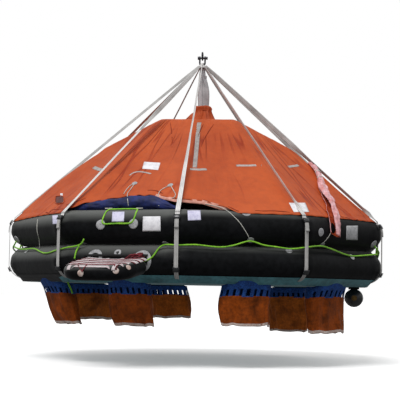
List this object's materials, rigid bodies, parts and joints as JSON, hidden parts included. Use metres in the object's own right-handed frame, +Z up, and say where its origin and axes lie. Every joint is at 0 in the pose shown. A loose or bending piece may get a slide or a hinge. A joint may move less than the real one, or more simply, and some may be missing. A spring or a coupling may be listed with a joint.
{
  "type": "davit-launched life raft",
  "caption": "Inflated ten-sided life raft under a tent canopy, hung by webbing bridle legs from a shackle and link, with a boarding ramp, ladder and water pockets.",
  "frame": {"origin": "the point inside the crown of the lifting link where a davit hook bears", "axes": "+Z up along the pull of the hook; -Y towards the corner beside the boarding ramp; the shackle's pin lies along X"},
  "size_m": [4.0452, 4.5849, 3.1787],
  "materials": {
    "rubber_black": "satin rubberised fabric",
    "canopy_orange": "coated nylon, wrinkled",
    "arch_orange": "coated fabric",
    "sleeve_pink": "thin coated nylon",
    "curtain_navy": "matt nylon",
    "pocket_brown": "wet coated nylon",
    "floor_teal": "coated fabric",
    "webbing_white": "woven webbing",
    "webbing_grey": "woven webbing",
    "ramp_webbing": "woven webbing",
    "webbing_black": "woven webbing",
    "steel_dark": "forged, galvanised",
    "valve_brass": "dull",
    "cylinder_black": "gloss paint"
  },
  "bodies": {
    "link": {"lifting_link": "steel_dark"},
    "raft": {"upper_buoyancy_tube": "rubber_black", "lower_buoyancy_tube": "rubber_black", "canopy": "canopy_orange", "canopy_collar": "canopy_orange", "arch_tube_front": "arch_orange", "arch_tube_rear": "arch_orange", "rain_sleeve": "sleeve_pink", "door_curtain_front": "curtain_navy", "door_curtain_rear": "curtain_navy", "floor": "floor_teal", "bridle_head": "webbing_white", "inner_bridle": "webbing_grey", "ramp_batten": "webbing_black", "ladder_batten": "webbing_black", "cylinder_cradle": "webbing_black", "gas_cylinder": "cylinder_black", "cylinder_valve": "valve_brass", "shackle_bow": "steel_dark", "shackle_pin": "steel_dark", "bridle_leg_01": "webbing_white", "tube_strap_01": "webbing_white", "bridle_leg_02": "webbing_white", "tube_strap_02": "webbing_white", "bridle_leg_03": "webbing_white", "tube_strap_03": "webbing_white", "bridle_leg_04": "webbing_white", "tube_strap_04": "webbing_white", "bridle_leg_05": "webbing_white", "tube_strap_05": "webbing_white", "bridle_leg_06": "webbing_white", "tube_strap_06": "webbing_white", "bridle_leg_07": "webbing_white", "tube_strap_07": "webbing_white", "bridle_leg_08": "webbing_white", "tube_strap_08": "webbing_white", "bridle_leg_09": "webbing_white", "tube_strap_09": "webbing_white", "bridle_leg_10": "webbing_white", "tube_strap_10": "webbing_white", "ballast_pocket_1": "pocket_brown", "ballast_pocket_2": "pocket_brown", "ballast_pocket_3": "pocket_brown", "ballast_pocket_4": "pocket_brown", "ballast_pocket_5": "pocket_brown", "ballast_pocket_6": "pocket_brown", "ballast_pocket_7": "pocket_brown"},
    "ramp": {"ramp_tube": "rubber_black", "ramp_mat": "ramp_webbing"},
    "ladder": {"boarding_ladder": "webbing_white"}
  },
  "joints": [
    {"name": "raft_swing", "type": "hinge", "parent": "link", "child": "raft", "pos_m": [0, 0, -0.055], "axis": [1, 0, 0], "range_deg": [-90, 90]},
    {"name": "ramp_fold", "type": "hinge", "parent": "raft", "child": "ramp", "pos_m": [-0.62152, -1.91285, -2.36054], "axis": [-0.9511, 0.309, 0], "range_deg": [0, 85]},
    {"name": "ladder_swing", "type": "hinge", "parent": "raft", "child": "ladder", "pos_m": [0.6237, 1.91955, -2.41765], "axis": [0.9511, -0.309, 0], "range_deg": [-5, 80]}
  ]
}
